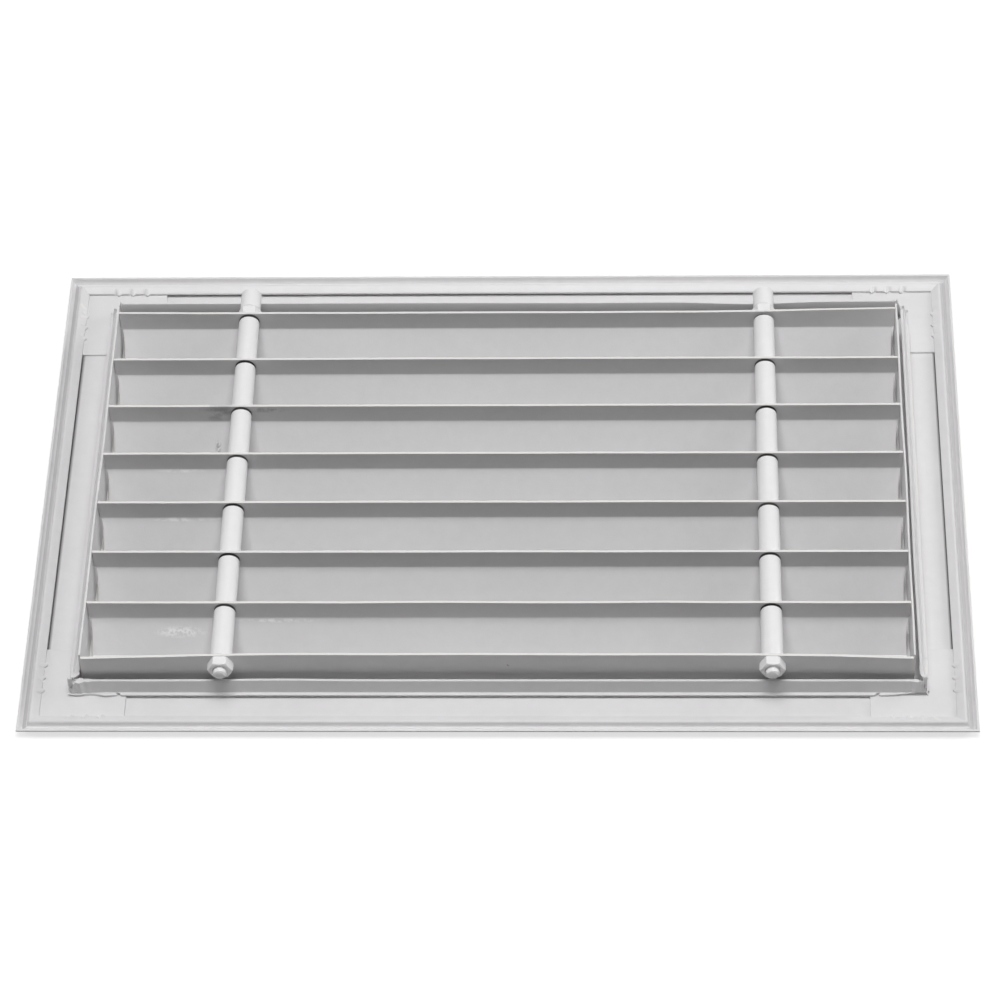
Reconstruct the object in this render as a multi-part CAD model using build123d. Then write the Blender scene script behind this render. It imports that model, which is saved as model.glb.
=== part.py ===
from build123d import *
from math import cos, radians, sin, tan
import os

# Fixed-blade louvred air grille: a flanged frame with a blade pack clamped on two tie rods.
#
# All sizes are millimetres.  The face of the flange lies on Z = 0 and looks down, +Z runs
# into the duct, +X runs along the blades and +Y points at the first blade.

# ---------------------------------------------------------------- driving sizes
NECK_WIDTH = 492.0        # outside of the neck, along X; enters a 500 opening
NECK_HEIGHT = 292.0       # outside of the neck, along Y; enters a 300 opening
FLANGE = 29.0             # outer edge of the flange to the outside of the neck
NECK_TOP = 14.0           # height of the neck above the face
RIM_HEIGHT = 6.8          # crest of the outer rim, which seats on the wall
FACE_PLATE = 1.4          # thickness of the face of the frame bars
NECK_WALL = 1.6
LIP = 1.3                 # thickness of both lips over the key channel
RIM_BEVEL = 4.4           # outer edge to the face, across the slanted outside of the rim
RIM_BLUNT = 1.2           # height left upright at the rim's outer edge, with its broken corner
CREST = 1.4               # outer edge to the inside of the rim's flat crest
COVE = 4.2                # outer edge to the deepest point of the cove behind the rim
COVE_DEPTH = 3.7          # crest of the rim to the bottom of the cove
RIDGE = 7.5               # outer edge to the ridge between the cove and the outer lip
RIDGE_DROP = 0.2          # the ridge stays this far below the crest of the rim
CHANNEL = 6.8             # outer edge to the outer wall of the key channel
INNER_UNDERCUT = 0.7      # key channel under the inner lip
EDGE = 0.4                # broken edge of a lip
OUTER_LIP_END = 12.0      # outer edge of the flange to the free edge of the outer lip
INNER_LIP = 2.0           # overhang of the lip at the foot of the neck
MITRE_GAP = 0.1           # open joint between two mitred bars
LEDGE_MARGIN = 1.7        # ledge inside the neck, past the side plates standing on it
CRIMP_STEPS = (30.0, 39.0, 48.0)    # end of a bar to each press mark on its outer lip
CRIMP_TURN = 38.0         # press marks slant by this much
CRIMP_LENGTH = 4.0
CRIMP_WIDTH = 1.2
CRIMP_DEPTH = 0.4
CRIMP_INSET = 1.2         # middle of a press mark to the free edge of the lip

KEY_THICKNESS = 1.6
KEY_LEG = 61.0            # outer corner of the frame to the end of a key leg
KEY_PLAY = 0.2            # slack of a key under a lip

SHEET = 1.5               # blade sheet
SIDE_SHEET = 1.2          # side plate sheet
CORE_GAP = 5.0            # inside of the neck to the outside of the blade pack
CORE_TOP = 31.5           # rear edge of the blades above the face
CREASE_ROOM = 0.85        # crease of a blade below the spacer tubes
FRONT_ANGLE = 45.0        # lean of the front leg from the face
TOE_RISE = 1.6            # front edge of the blades above the face
BEND = 1.0                # inside radius of the crease
FRONT_LEG_CUT = 2.0       # the front leg stops this short of the rear leg at each end
SIDE_TAIL = 5.0           # side plates run on past the first blade
END_PLAY = 0.2            # slack between a blade end and a side plate

SPACER_LENGTH = 34.8
SPACER_PLAY = 1.0         # open gap between a spacer and the blade above it
SPACER_DIAMETER = 12.5
ROD_DIAMETER = 8.0
ROD_FIT = 0.4             # bore over rod, on the diameter, in spacers and collars
NUT_FIT = 0.1             # bore over rod, on the diameter, in the nuts
HOLE_FIT = 0.6            # rod hole in a blade over the rod, on the diameter
SPACER_CHAMFER = 0.9
ROD_CHAMFER = 0.8
ROD_SPAN = 316.0          # distance between the two rods
ROD_DROP = 6.9            # rear edge of the blades to the axis of the rods
NUT_FLATS = 13.0
NUT_HEIGHT = 6.5
ROD_TAIL = 3.2            # rod end standing out of the lower nut
NUT_BEVEL = 0.1           # flats of a nut inside the rim of its bevelled face
COLLAR_PLAY = 0.6         # nut to collar
COLLAR_CHAMFER = 0.6
COLLAR_CLEARANCE = 0.9    # far end of a collar to the inside of the neck
ROD_SETBACK = 0.6         # upper rod end inside the end of its collar
HEAD_ROOM = 12.0          # least room for a nut and a collar above the first blade

# ---------------------------------------------------------------- derived sizes
WIDTH = NECK_WIDTH + 2 * FLANGE
HEIGHT = NECK_HEIGHT + 2 * FLANGE
SLOT = KEY_THICKNESS + KEY_PLAY                 # height of the channel under the lips
LIP_TOP = FACE_PLATE + SLOT + LIP
LEDGE = FLANGE + NECK_WALL + CORE_GAP + SIDE_SHEET + LEDGE_MARGIN   # width of a bar's face
PITCH = SPACER_LENGTH + SPACER_PLAY + SHEET
CORE_X = NECK_WIDTH / 2 - NECK_WALL - CORE_GAP  # outside of a side plate
CLOSING_Y = -(NECK_HEIGHT / 2 - NECK_WALL - CORE_GAP - SHEET / 2)
BAYS = int((NECK_HEIGHT - 2 * (NECK_WALL + CORE_GAP) - HEAD_ROOM) / PITCH)
FIRST_Y = CLOSING_Y + BAYS * PITCH
BLADE_HALF = CORE_X - SIDE_SHEET - END_PLAY     # half length of a blade
ROD_HEIGHT = CORE_TOP - ROD_DROP
REAR_LEG = ROD_DROP + SPACER_DIAMETER / 2 + CREASE_ROOM   # upright leg of a blade
CREASE_Z = CORE_TOP - REAR_LEG
ROD_XS = {"left": -ROD_SPAN / 2, "right": ROD_SPAN / 2}


def bar_section(half: float) -> Face:
    """Section of a frame bar in the YZ plane, its outer edge at Y = -half."""
    shelf = FACE_PLATE + SLOT
    ridge_top = RIM_HEIGHT - RIDGE_DROP
    inner = FLANGE - INNER_UNDERCUT
    foot = FLANGE - INNER_LIP
    cove = [(CREST, RIM_HEIGHT), (COVE, RIM_HEIGHT - COVE_DEPTH), (RIDGE - 1.1, RIM_HEIGHT - 0.9)]
    rest = [
        cove[-1], (RIDGE - 0.7, ridge_top - 0.2), (RIDGE, ridge_top), (RIDGE + 0.9, ridge_top - 0.2),
        (OUTER_LIP_END - EDGE, LIP_TOP), (OUTER_LIP_END, LIP_TOP - EDGE),
        (OUTER_LIP_END, shelf), (CHANNEL, shelf), (CHANNEL, FACE_PLATE), (inner, FACE_PLATE),
        (inner, shelf), (foot, shelf), (foot, LIP_TOP - EDGE), (foot + EDGE, LIP_TOP),
        (FLANGE, LIP_TOP), (FLANGE, NECK_TOP), (FLANGE + NECK_WALL, NECK_TOP),
        (FLANGE + NECK_WALL, FACE_PLATE), (LEDGE, FACE_PLATE), (LEDGE, 0.0), (RIM_BEVEL, 0.0),
        (0.25, RIM_HEIGHT - RIM_BLUNT), (0.0, RIM_HEIGHT - RIM_BLUNT + 0.3), (0.0, RIM_HEIGHT - EDGE),
        (EDGE, RIM_HEIGHT), cove[0],
    ]
    arc = ThreePointArc(*[(m - half, z) for m, z in cove])
    outline = arc + Polyline([(m - half, z) for m, z in rest])
    return Plane.YZ * make_face(outline)


def crimp_marks(length: float, half: float) -> list[Part]:
    """Slanting press marks that close the outer lip on the keys at both ends of a bar."""
    marks = []
    middle = OUTER_LIP_END - CRIMP_INSET - half
    for end in (-1, 1):
        for step in CRIMP_STEPS:
            x = end * (length / 2 - step)
            mark = Box(CRIMP_WIDTH, CRIMP_LENGTH, LIP, align=(Align.CENTER, Align.CENTER, Align.MIN))
            place = Pos(x, middle, LIP_TOP - CRIMP_DEPTH) * Rot(0, 0, end * CRIMP_TURN)
            marks.append(place * mark)
    return marks


def frame_bar(length: float, across: float) -> Part:
    """Bar along X with its outer edge at Y = -across/2 and both ends mitred."""
    half = across / 2
    stock = extrude(bar_section(half), length / 2, both=True)
    run = LEDGE + 1
    gap = MITRE_GAP / 2
    mitre = Polyline([
        (-length / 2 + gap, -half), (length / 2 - gap, -half),
        (length / 2 - run - gap, -half + run), (-length / 2 + run + gap, -half + run),
    ], close=True)
    bar = stock & extrude(make_face(mitre), NECK_TOP)
    for mark in crimp_marks(length, half):
        bar -= mark
    return bar


def corner_key() -> Part:
    """Flat L plate for the lower left corner, slid under both lips."""
    outer = CHANNEL + KEY_PLAY
    inner = FLANGE - INNER_UNDERCUT - KEY_PLAY
    x0, y0 = -WIDTH / 2, -HEIGHT / 2
    outline = Polyline([
        (x0 + outer, y0 + outer), (x0 + KEY_LEG, y0 + outer), (x0 + KEY_LEG, y0 + inner),
        (x0 + inner, y0 + inner), (x0 + inner, y0 + KEY_LEG), (x0 + outer, y0 + KEY_LEG),
    ], close=True)
    return Pos(0, 0, FACE_PLATE) * extrude(make_face(outline), KEY_THICKNESS)


def side_plate(side: int) -> Part:
    """Upright plate that closes one end of the blade pack and stands on the ledge."""
    low = CLOSING_Y - SHEET / 2
    high = FIRST_Y + SHEET / 2 + SIDE_TAIL
    x = side * (CORE_X - SIDE_SHEET / 2)
    plate = Box(SIDE_SHEET, high - low, CORE_TOP - FACE_PLATE, align=(Align.CENTER, Align.MIN, Align.MIN))
    return Pos(x, low, FACE_PLATE) * plate


def rod_holes(y: float) -> list[Part]:
    """Cutters for the two rod holes through a sheet standing at Y = y."""
    hole = Rot(90, 0, 0) * Cylinder((ROD_DIAMETER + HOLE_FIT) / 2, 4 * SHEET)
    return [Pos(x, y, ROD_HEIGHT) * hole for x in ROD_XS.values()]


def blade(y: float) -> Part:
    """Bent blade: an upright rear leg and a front leg that leans towards -Y."""
    half = SHEET / 2
    lean = radians(FRONT_ANGLE)
    drop = CREASE_Z - TOE_RISE
    toe = -drop / tan(lean)
    shift = half * tan((radians(90) - lean) / 2)
    off = (half * sin(lean), half * cos(lean))
    section = Polyline([
        (half, CORE_TOP), (-half, CORE_TOP), (-half, CREASE_Z + shift),
        (toe - off[0], TOE_RISE + off[1]), (toe + off[0], TOE_RISE - off[1] + 0.2),
        (half, CREASE_Z - shift),
    ], close=True)
    body = extrude(Plane.YZ * make_face(section), BLADE_HALF, both=True)
    crease = body.edges().filter_by(Axis.X).sort_by_distance((0, -half, CREASE_Z + shift))[0]
    body = fillet(crease, BEND)
    spine = body.edges().filter_by(Axis.X).sort_by_distance((0, half, CREASE_Z - shift))[0]
    body = fillet(spine, BEND + SHEET)
    notch_depth = CREASE_Z - SHEET
    for end in (-1, 1):
        notch = Box(2 * FRONT_LEG_CUT, 2 * PITCH, 2 * notch_depth)
        body -= Pos(end * BLADE_HALF, 0, 0) * notch
    body = Pos(0, y, 0) * body
    for cutter in rod_holes(y):
        body -= cutter
    return body


def closing_blade() -> Part:
    """Flat last blade beside the neck; it stands on the ledge of the lower bar."""
    body = Box(2 * BLADE_HALF, SHEET, CORE_TOP - FACE_PLATE, align=(Align.CENTER, Align.CENTER, Align.MIN))
    body = Pos(0, CLOSING_Y, FACE_PLATE) * body
    for cutter in rod_holes(CLOSING_Y):
        body -= cutter
    return body


def tube(length: float, chamfered: float) -> Part:
    """Tube along Y from the origin, bored for the rod, its two outer rims broken."""
    body = Cylinder(SPACER_DIAMETER / 2, length)
    body = chamfer(body.edges().filter_by(GeomType.CIRCLE), chamfered)
    body -= Cylinder((ROD_DIAMETER + ROD_FIT) / 2, length)
    return Pos(0, length / 2, 0) * Rot(90, 0, 0) * body


def spacer(x: float, bay: int) -> Part:
    """Spacer tube that fills one bay between two blades."""
    y = FIRST_Y - bay * PITCH + SHEET / 2
    return Pos(x, y, ROD_HEIGHT) * tube(SPACER_LENGTH, SPACER_CHAMFER)


def nut(x: float, y: float) -> Part:
    """Hexagon nut whose low-Y face is at Y = y."""
    hexagon = RegularPolygon(NUT_FLATS / 2, 6, major_radius=False, rotation=30)
    body = extrude(hexagon, NUT_HEIGHT)
    rim = NUT_FLATS / 2 + NUT_BEVEL
    cone = Cone(rim + NUT_HEIGHT, rim, NUT_HEIGHT, align=(Align.CENTER, Align.CENTER, Align.MIN))
    body = body & cone
    body -= Cylinder((ROD_DIAMETER + NUT_FIT) / 2, 3 * NUT_HEIGHT)
    return Pos(x, y, ROD_HEIGHT) * Rot(-90, 0, 0) * body


def all_nuts() -> Compound:
    """Both nuts of both rods, one above the first blade and one below the last."""
    group = []
    for x in ROD_XS.values():
        upper = nut(x, FIRST_Y + SHEET / 2)
        group.append(upper)
        group.append(Pos(0, 2 * (CLOSING_Y - SHEET / 2), 0) * mirror(nut(x, CLOSING_Y - SHEET / 2), Plane.XZ))
    return Compound(children=group)


def collar_start() -> float:
    """Y of the collar's face beside the upper nut."""
    return FIRST_Y + SHEET / 2 + NUT_HEIGHT + COLLAR_PLAY


def collar_end() -> float:
    """Y of the collar's far face, just short of the neck."""
    return NECK_HEIGHT / 2 - NECK_WALL - COLLAR_CLEARANCE


def collar(x: float) -> Part:
    """Short tube over the upper rod end."""
    return Pos(x, collar_start(), ROD_HEIGHT) * tube(collar_end() - collar_start(), COLLAR_CHAMFER)


def tie_rod(x: float) -> Part:
    """Rod through every blade and spacer, from the lower nut's tail into the collar."""
    low = CLOSING_Y - SHEET / 2 - NUT_HEIGHT - ROD_TAIL
    high = collar_end() - ROD_SETBACK
    body = Cylinder(ROD_DIAMETER / 2, high - low)
    body = chamfer(body.edges().filter_by(GeomType.CIRCLE), ROD_CHAMFER)
    return Pos(x, (high + low) / 2, ROD_HEIGHT) * Rot(90, 0, 0) * body


def build() -> dict[str, Part | Compound]:
    """Every node of the grille by name, in its place."""
    long_bar, short_bar, key = frame_bar(WIDTH, HEIGHT), frame_bar(HEIGHT, WIDTH), corner_key()
    nodes = {
        "frame_bottom": long_bar,
        "frame_top": Rot(0, 0, 180) * long_bar,
        "frame_right": Rot(0, 0, 90) * short_bar,
        "frame_left": Rot(0, 0, -90) * short_bar,
        "corner_key_bottom_left": key,
        "corner_key_bottom_right": mirror(key, Plane.YZ),
        "corner_key_top_left": mirror(key, Plane.XZ),
        "corner_key_top_right": Rot(0, 0, 180) * key,
        "side_plate_left": side_plate(-1),
        "side_plate_right": side_plate(1),
        "closing_blade": closing_blade(),
        "nuts": all_nuts(),
    }
    for i in range(BAYS):
        nodes[f"blade_{i + 1}"] = blade(FIRST_Y - i * PITCH)
    for side, x in ROD_XS.items():
        nodes[f"tie_rod_{side}"] = tie_rod(x)
        nodes[f"collar_{side}"] = collar(x)
        for bay in range(BAYS):
            nodes[f"spacer_{side}_{bay + 1}"] = spacer(x, bay + 1)
    return nodes


os.makedirs("parts", exist_ok=True)
for name, shape in build().items():
    export_step(shape, f"parts/{name}.step")
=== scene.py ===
"""Finishes and shapes of a white louvred air grille, lying on its face with the duct side up.

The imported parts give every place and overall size.  Lengths named in this file are
millimetres unless they are said to be metres; MM turns them into Blender's metres.
"""
import logging
import math
from dataclasses import dataclass, field
from enum import Enum

import bmesh
import bpy
import numpy as np
from mathutils import Matrix, Vector


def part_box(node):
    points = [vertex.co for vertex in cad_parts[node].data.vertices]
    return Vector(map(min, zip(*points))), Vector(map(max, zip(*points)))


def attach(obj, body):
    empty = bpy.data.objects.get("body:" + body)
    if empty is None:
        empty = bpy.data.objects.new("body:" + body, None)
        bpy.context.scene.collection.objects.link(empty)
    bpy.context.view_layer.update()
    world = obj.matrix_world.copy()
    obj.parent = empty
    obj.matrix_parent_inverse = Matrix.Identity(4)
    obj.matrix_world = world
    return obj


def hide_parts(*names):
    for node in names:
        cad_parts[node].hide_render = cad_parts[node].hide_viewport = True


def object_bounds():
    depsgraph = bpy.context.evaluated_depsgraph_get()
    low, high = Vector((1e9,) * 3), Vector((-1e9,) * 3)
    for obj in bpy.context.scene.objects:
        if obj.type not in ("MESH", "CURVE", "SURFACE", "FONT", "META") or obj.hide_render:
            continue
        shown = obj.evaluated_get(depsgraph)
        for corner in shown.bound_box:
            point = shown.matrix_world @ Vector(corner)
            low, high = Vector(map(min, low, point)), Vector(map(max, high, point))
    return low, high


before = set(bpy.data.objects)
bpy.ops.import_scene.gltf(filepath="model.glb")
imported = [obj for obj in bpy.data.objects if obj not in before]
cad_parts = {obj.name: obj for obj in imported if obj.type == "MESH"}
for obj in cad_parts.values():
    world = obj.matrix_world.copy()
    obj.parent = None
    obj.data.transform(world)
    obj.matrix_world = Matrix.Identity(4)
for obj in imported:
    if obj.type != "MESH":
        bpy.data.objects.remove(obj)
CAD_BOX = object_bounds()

MM = 0.001
LOG = logging.getLogger("air_grille")
Point2 = tuple[float, float]
Point3 = tuple[float, float, float]
Colour = tuple[float, float, float, float]
Piece = bpy.types.Object
Socket = bpy.types.NodeSocket
Tree = bpy.types.NodeTree
Value = Socket | float

BLADE_COUNT = 7
BLADE_SHEET = 1.5       # thickness of the blades, millimetres
END_RINGS = 46          # sections in each close-set stretch of a frame bar
MIDDLE_RINGS = 60       # sections along the rest of it
WORKED_RUN = 66.0       # length of a bar, from its end, that hand work reaches, millimetres
ROD_FACETS = 32
NUT_FACETS = 96
NUT_LEVELS = (0.0, 0.06, 0.12, 0.2, 0.3, 0.5, 0.7, 0.8, 0.88, 0.94, 1.0)
THREAD_STEPS = 7        # rings in one turn of the thread


class Slot(Enum):
    """Material slots of the record."""

    FRAME = "frame_coat"
    KEY = "key_coat"
    BLADE = "blade_coat"
    ROD = "rod_coat"


class Side(Enum):
    """The two ends of the grille along X."""

    LEFT = "left"
    RIGHT = "right"


# ------------------------------------------------------------------ small helpers
def node_box(node: str) -> tuple[Vector, Vector]:
    """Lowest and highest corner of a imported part, in millimetres."""
    low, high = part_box(node)
    return low / MM, high / MM


def smooth_step(t: np.ndarray) -> np.ndarray:
    """Ease from 0 to 1 over 0 <= t <= 1."""
    t = np.clip(t, 0.0, 1.0)
    return t * t * (3 - 2 * t)


def bell(t: np.ndarray) -> np.ndarray:
    """Smooth bump of height 1 at t = 0."""
    return np.exp(-t * t)


def rounded(corners: list[tuple[float, float, float]], steps: int = 4) -> list[Point2]:
    """Closed outline with each corner rounded.

    Args:
        corners: (across, up, radius) of each corner in order.
        steps: segments in each rounded corner.

    Returns:
        Outline points; every corner gives steps + 1 of them.
    """
    points = []
    count = len(corners)
    for i, (x, y, radius) in enumerate(corners):
        here = Vector((x, y))
        before = Vector(corners[i - 1][:2]) - here
        after = Vector(corners[(i + 1) % count][:2]) - here
        turn = before.angle(after)
        reach = min(radius / math.tan(turn / 2), 0.45 * before.length, 0.45 * after.length)
        start = here + before.normalized() * reach
        end = here + after.normalized() * reach
        for k in range(steps + 1):
            t = k / steps
            points.append(tuple((1 - t) ** 2 * start + 2 * t * (1 - t) * here + t * t * end))
    return points


def mesh_piece(name: str, points: np.ndarray, faces: list, sharp: float = 32.0) -> Piece:
    """Object made from points in millimetres, welded, with outward normals.

    Args:
        name: object name.
        points: N x 3 array.
        faces: tuples of point numbers.
        sharp: edges that turn more than this many degrees stay sharp.

    Returns:
        The new object, at the origin and linked to the scene.
    """
    mesh = bpy.data.meshes.new(name)
    mesh.from_pydata((np.asarray(points) * MM).tolist(), [], faces)
    piece = bpy.data.objects.new(name, mesh)
    bpy.context.scene.collection.objects.link(piece)
    weld(mesh)
    mesh.shade_smooth()
    mesh.set_sharp_from_angle(angle=math.radians(sharp))
    return piece


def weld(mesh: bpy.types.Mesh, distance: float = 2e-6) -> None:
    """Merge doubles, drop flat scraps and turn every face outwards.

    Args:
        mesh: mesh to work on, in place.
        distance: points closer than this, in metres, are merged.
    """
    work = bmesh.new()
    work.from_mesh(mesh)
    bmesh.ops.remove_doubles(work, verts=work.verts, dist=distance)
    bmesh.ops.dissolve_degenerate(work, edges=work.edges, dist=distance / 2)
    bmesh.ops.recalc_face_normals(work, faces=work.faces)
    work.to_mesh(mesh)
    work.free()


def ring_faces(rings: int, around: int, caps: bool = True) -> list:
    """Faces of a tube of rings, closed around, with both ends filled if caps is true.

    Args:
        rings: number of rings.
        around: points in each ring.
        caps: whether to fill both ends.

    Returns:
        Tuples of point numbers.
    """
    faces = []
    for i in range(rings - 1):
        for j in range(around):
            k = (j + 1) % around
            faces.append((i * around + j, i * around + k, (i + 1) * around + k, (i + 1) * around + j))
    if caps:
        faces.append(tuple(range(around)))
        faces.append(tuple(reversed(range((rings - 1) * around, rings * around))))
    return faces


def dress(piece: Piece, finish: "PowderCoat", nodes: list[str]) -> Piece:
    """Give a finished piece its coat, its body and the parts it stands for.

    Args:
        piece: the finished mesh object.
        finish: its coat.
        nodes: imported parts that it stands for.

    Returns:
        The same piece.
    """
    piece.data.materials.clear()
    piece.data.materials.append(finish.material())
    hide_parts(*nodes)
    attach(piece, "root")
    LOG.info("%s: %d faces", piece.name, len(piece.data.polygons))
    return piece


# ------------------------------------------------------------------ finishes
@dataclass(frozen=True)
class Mark:
    """A smudge, scuff, painted shadow or painted highlight on the coat: a soft blot in space, broken up by
    grain.

    Centre and reach are millimetres; cover is 0 to 1, grain is the size of its specks (0 for
    an even blot) and firm is the share of its reach that is fully covered.
    """

    centre: Point3
    reach: Point3
    colour: Colour
    cover: float = 0.6
    grain: float = 4.0
    firm: float = 0.35


@dataclass(frozen=True)
class PowderCoat:
    """White powder coat: orange peel, fine grain and a few handling scuffs, with painted light: an edge tint
    that is a painted highlight by default, painted shade in tight recesses and where a point attribute asks
    for it, and marks that include painted shadows and highlights.
    """

    name: str
    colour: Colour = (0.76, 0.752, 0.76, 1.0)
    shade: Colour = (0.71, 0.702, 0.71, 1.0)
    # tint of convex edges; the default, lighter and warmer than the coat, is a painted highlight
    edge: Colour = (0.80, 0.79, 0.77, 1.0)
    # painted shade for tight concave recesses
    recess_shade: Colour = (0.45, 0.44, 0.42, 1.0)
    roughness: float = 0.42
    peel_size: float = 1.6
    peel_depth: float = 0.035
    grain_size: float = 0.35
    grain_depth: float = 0.008
    marks: tuple[Mark, ...] = ()
    # point attribute naming where painted shade goes, and the near-black shadow colour it mixes in
    thin: str = ""
    bare: Colour = (0.05, 0.048, 0.046, 1.0)

    def material(self) -> bpy.types.Material:
        """The coat as a node material, made once and then reused."""
        return bpy.data.materials.get(self.name) or self._build()

    def _build(self) -> bpy.types.Material:
        """Build the node tree.

        Returns:
            The new material.
        """
        coat = bpy.data.materials.new(self.name)
        coat.use_nodes = True
        tree = coat.node_tree
        shader = tree.nodes["Principled BSDF"]
        place = tree.nodes.new("ShaderNodeTexCoord").outputs["Object"]
        colour = self._mottle(tree, place)
        colour = self._edge_tint_and_recess_shade(tree, colour)
        # painted shade: the point attribute mixes the near-black shadow colour in
        if self.thin:
            spot = tree.nodes.new("ShaderNodeAttribute")
            spot.attribute_name = self.thin
            colour = self._mix(tree, spot.outputs["Fac"], colour, self.bare)
        marked = None
        for mark in self.marks:
            cover = self._cover(tree, place, mark)
            colour = self._mix(tree, cover, colour, mark.colour)
            marked = cover if marked is None else self._math(tree, "MAXIMUM", marked, cover)
        tree.links.new(colour, shader.inputs["Base Color"])
        rough = self._noise(tree, place, 0.02, 3.0)
        spread = self._math(tree, "MULTIPLY_ADD", rough, 0.14, self.roughness - 0.07)
        if marked is not None:
            spread = self._math(tree, "MULTIPLY_ADD", marked, 0.18, spread)
        tree.links.new(spread, shader.inputs["Roughness"])
        tree.links.new(self._relief(tree, place), shader.inputs["Normal"])
        shader.inputs["Specular IOR Level"].default_value = 0.5
        return coat

    def _noise(self, tree: Tree, place: Socket, size: float, detail: float) -> Socket:
        """Noise with features of about the given size in metres.

        Args:
            tree: the coat's node tree.
            place: position on the piece, in metres.
            size: size of its features, in metres.
            detail: depth of finer detail.

        Returns:
            The noise, about 0 to 1.
        """
        noise = tree.nodes.new("ShaderNodeTexNoise")
        noise.inputs["Scale"].default_value = 1 / size
        noise.inputs["Detail"].default_value = detail
        tree.links.new(place, noise.inputs["Vector"])
        return noise.outputs["Fac"]

    def _math(self, tree: Tree, operation: str, *values: Value) -> Socket:
        """Math node over sockets and numbers.

        Args:
            tree: the coat's node tree.
            operation: Blender's name for the sum.
            values: sockets or numbers.

        Returns:
            The result.
        """
        node = tree.nodes.new("ShaderNodeMath")
        node.operation = operation
        for socket, value in zip(node.inputs, values):
            if isinstance(value, (int, float)):
                socket.default_value = value
            else:
                tree.links.new(value, socket)
        return node.outputs[0]

    def _mix(self, tree: Tree, factor: Socket, first: Socket | Colour, second: Socket | Colour) -> Socket:
        """Colour mix of two sockets or colours.

        Args:
            tree: the coat's node tree.
            factor: share of the second colour.
            first: first colour.
            second: second colour.

        Returns:
            The mixed colour.
        """
        node = tree.nodes.new("ShaderNodeMix")
        node.data_type = "RGBA"
        tree.links.new(factor, node.inputs[0])
        for socket, value in ((node.inputs[6], first), (node.inputs[7], second)):
            if isinstance(value, tuple):
                socket.default_value = value
            else:
                tree.links.new(value, socket)
        return node.outputs[2]

    def _mottle(self, tree: Tree, place: Socket) -> Socket:
        """Slow drift of the white with a faint finer mottle.

        Args:
            tree: the coat's node tree.
            place: position on the piece, in metres.

        Returns:
            The colour.
        """
        slow = self._noise(tree, place, 0.09, 2.0)
        fine = self._noise(tree, place, 0.006, 4.0)
        both = self._math(tree, "MULTIPLY_ADD", fine, 0.45, self._math(tree, "MULTIPLY", slow, 0.55))
        sharp = self._math(tree, "MULTIPLY_ADD", both, 2.4, -0.7)
        sharp = self._math(tree, "MINIMUM", self._math(tree, "MAXIMUM", sharp, 0.0), 1.0)
        return self._mix(tree, sharp, self.colour, self.shade)

    def _edge_tint_and_recess_shade(self, tree: Tree, colour: Socket) -> Socket:
        """Tint of outer edges, by default lighter and warmer as a painted highlight, and painted shade in
        tight recesses.

        Args:
            tree: the coat's node tree.
            colour: colour so far.

        Returns:
            The new colour.
        """
        bend = tree.nodes.new("ShaderNodeNewGeometry").outputs["Pointiness"]
        # edge tint on convex edges, by pointiness: a painted highlight with the default colours
        out = self._ramp(tree, bend, 0.53, 0.60)
        colour = self._mix(tree, self._math(tree, "MULTIPLY", out, 0.8), colour, self.edge)
        # painted shade in concave recesses, by pointiness
        recess_share = self._ramp(tree, bend, 0.47, 0.40)
        return self._mix(tree, self._math(tree, "MULTIPLY", recess_share, 0.35), colour, self.recess_shade)

    def _ramp(self, tree: Tree, value: Socket, start: float, end: float) -> Socket:
        """Clamped straight ramp from 0 at start to 1 at end.

        Args:
            tree: the coat's node tree.
            value: value to ramp.
            start: value that gives 0.
            end: value that gives 1.

        Returns:
            The ramp, 0 to 1.
        """
        node = tree.nodes.new("ShaderNodeMapRange")
        node.inputs["From Min"].default_value = start
        node.inputs["From Max"].default_value = end
        tree.links.new(value, node.inputs["Value"])
        return node.outputs["Result"]

    def _cover(self, tree: Tree, place: Socket, mark: Mark) -> Socket:
        """How strongly a mark covers the coat at a point.

        Args:
            tree: the coat's node tree.
            place: position on the piece, in metres.
            mark: the mark.

        Returns:
            Cover, from 0 to the mark's own.
        """
        local = tree.nodes.new("ShaderNodeMapping")
        local.inputs["Location"].default_value = [-c / r for c, r in zip(mark.centre, mark.reach)]
        local.inputs["Scale"].default_value = [1 / (r * MM) for r in mark.reach]
        tree.links.new(place, local.inputs["Vector"])
        away = tree.nodes.new("ShaderNodeVectorMath")
        away.operation = "LENGTH"
        tree.links.new(local.outputs["Vector"], away.inputs[0])
        near = self._ramp(tree, away.outputs["Value"], 1.0, mark.firm)
        if not mark.grain:
            return self._math(tree, "MULTIPLY", near, mark.cover)
        specks = self._ramp(tree, self._noise(tree, place, mark.grain * MM, 5.0), 0.42, 0.58)
        return self._math(tree, "MULTIPLY", self._math(tree, "MULTIPLY", near, specks), mark.cover)

    def _relief(self, tree: Tree, place: Socket) -> Socket:
        """Orange peel over fine grain, as a normal.

        Args:
            tree: the coat's node tree.
            place: position on the piece, in metres.

        Returns:
            The normal.
        """
        normal = None
        for size, depth, detail in (
            (self.peel_size * MM, self.peel_depth * MM, 1.0),
            (self.grain_size * MM, self.grain_depth * MM, 2.0),
        ):
            bump = tree.nodes.new("ShaderNodeBump")
            bump.inputs["Strength"].default_value = 1.0
            bump.inputs["Distance"].default_value = depth
            tree.links.new(self._noise(tree, place, size, detail), bump.inputs["Height"])
            if normal is not None:
                tree.links.new(normal, bump.inputs["Normal"])
            normal = bump.outputs["Normal"]
        return normal


GREY_SMUDGE: Colour = (0.30, 0.30, 0.31, 1.0)
DARK_SCRATCH: Colour = (0.16, 0.15, 0.15, 1.0)
# pale scuff colour, also used for painted highlights along the blade creases
PALE_SCUFF_AND_HIGHLIGHT: Colour = (0.95, 0.95, 0.94, 1.0)
RIM_SHADOW: Colour = (0.035, 0.034, 0.033, 1.0)
RUSTY_SPECK: Colour = (0.36, 0.24, 0.16, 1.0)


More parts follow.
